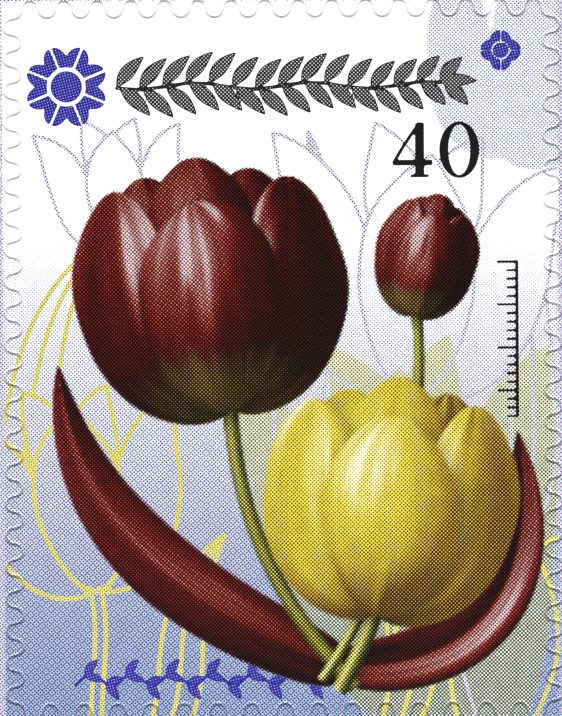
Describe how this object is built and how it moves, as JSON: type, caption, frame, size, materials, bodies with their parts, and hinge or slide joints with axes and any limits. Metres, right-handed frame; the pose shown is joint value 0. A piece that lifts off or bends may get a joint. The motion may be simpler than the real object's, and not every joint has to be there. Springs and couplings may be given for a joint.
{
  "type": "postage stamp",
  "caption": "Flat self-adhesive postage stamp with wavy die-cut teeth, still on its release backing inside a frame of selvage, with a plain botanical design.",
  "frame": {"origin": "middle of the release liner's back face, which rests on the surface", "axes": "+Z out of the printed face, +Y towards the top of the stamp, +X towards its right edge"},
  "size_m": [0.0282, 0.0358, 0.0002],
  "materials": {
    "face_paper": "coated, printed by offset halftone, satin",
    "selvage_paper": "coated, printed with a pale violet tint, satin",
    "adhesive": "clear soft pressure-sensitive coat",
    "liner": "smooth silicone-coated glassine"
  },
  "bodies": {
    "root": {"stamp_paper": "face_paper", "stamp_adhesive": "adhesive", "selvage_paper": "selvage_paper", "selvage_adhesive": "adhesive", "release_liner": "liner"}
  },
  "joints": []
}
